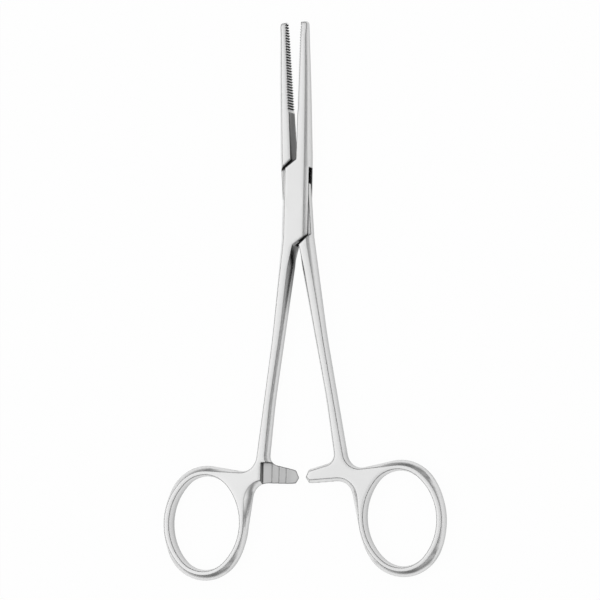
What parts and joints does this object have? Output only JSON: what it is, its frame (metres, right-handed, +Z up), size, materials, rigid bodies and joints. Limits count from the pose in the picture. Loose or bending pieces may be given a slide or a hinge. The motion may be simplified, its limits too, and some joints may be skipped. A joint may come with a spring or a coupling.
{
  "type": "hemostatic forceps",
  "caption": "Straight locking forceps: serrated jaws cross at a box lock, slim shanks carry interlocking ratchet arms and oval finger rings.",
  "frame": {"origin": "pivot axis of the box lock, on the plane of the back faces that the instrument rests on", "axes": "+Y along the centre line towards the jaw tips, +X across towards the box half's jaw, +Z up along the pivot axis"},
  "size_m": [0.0756, 0.1397, 0.0047],
  "materials": {
    "box_half": "satin",
    "tongue_half": "satin",
    "pivot_pin": "satin"
  },
  "bodies": {
    "box_side": {"box_half": "box_half", "pivot_pin": "pivot_pin"},
    "tongue_side": {"tongue_half": "tongue_half"}
  },
  "joints": [
    {"name": "box_lock", "type": "hinge", "parent": "box_side", "child": "tongue_side", "pos_m": [0, 0, 0], "axis": [0, 0, 1], "range_deg": [-4.8, 75.2]}
  ]
}
